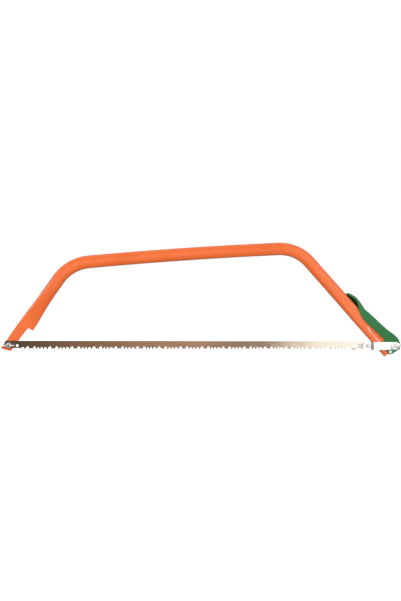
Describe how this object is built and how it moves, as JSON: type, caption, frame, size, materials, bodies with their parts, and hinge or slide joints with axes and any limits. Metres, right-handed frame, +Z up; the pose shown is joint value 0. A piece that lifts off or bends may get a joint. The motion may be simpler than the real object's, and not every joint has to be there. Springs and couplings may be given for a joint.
{
  "type": "bow saw",
  "caption": "Bow saw with a bent oval tube frame, a long raker-tooth blade, a wing nut at the front and an over-centre tension lever at the rear.",
  "frame": {"origin": "centre of the underside of the saw's bounding box, in the blade's plane", "axes": "+Z up from the teeth to the top bar, +X along the blade from the front bolt to the tension lever, +Y across the saw away from the wing nut"},
  "size_m": [0.8488, 0.0259, 0.2444],
  "materials": {
    "orange_paint": "gloss",
    "green_paint": "gloss",
    "blade_steel": "polished",
    "zinc": "bright zinc plate"
  },
  "bodies": {
    "frame": {"bow_tube": "orange_paint", "front_bolt": "zinc", "front_washer_far": "zinc"},
    "blade": {"saw_blade": "blade_steel"},
    "front_nut": {"wing_nut": "zinc", "front_washer_near": "zinc"},
    "lever": {"tension_lever": "green_paint", "fulcrum_pin": "zinc", "link_rivet": "zinc", "rivet_spacer": "zinc"},
    "link": {"link_cheek_near": "zinc", "link_cheek_far": "zinc", "blade_pin": "zinc", "blade_pin_clip": "zinc"}
  },
  "joints": [
    {"name": "lever_pivot", "type": "hinge", "parent": "frame", "child": "lever", "pos_m": [0.40126, 0, 0.01011], "axis": [0, 1, 0], "range_deg": [0, 95]},
    {"name": "link_pivot", "type": "hinge", "parent": "lever", "child": "link", "pos_m": [0.41416, 0, 0.02401], "axis": [0, 1, 0], "range_deg": [-94, 0]},
    {"name": "blade_swing", "type": "hinge", "parent": "frame", "child": "blade", "pos_m": [-0.40824, 0, 0.02321], "axis": [0, 1, 0], "range_deg": [0, 2.1]},
    {"name": "wing_nut_turn", "type": "hinge", "parent": "frame", "child": "front_nut", "pos_m": [-0.40824, -0.005, 0.02321], "axis": [0, 1, 0], "continuous": true}
  ],
  "couplings": [
    {"joint": "link_pivot", "follows": "lever_pivot", "ratio": -0.9793},
    {"joint": "blade_swing", "follows": "lever_pivot", "ratio": 0.0207}
  ]
}
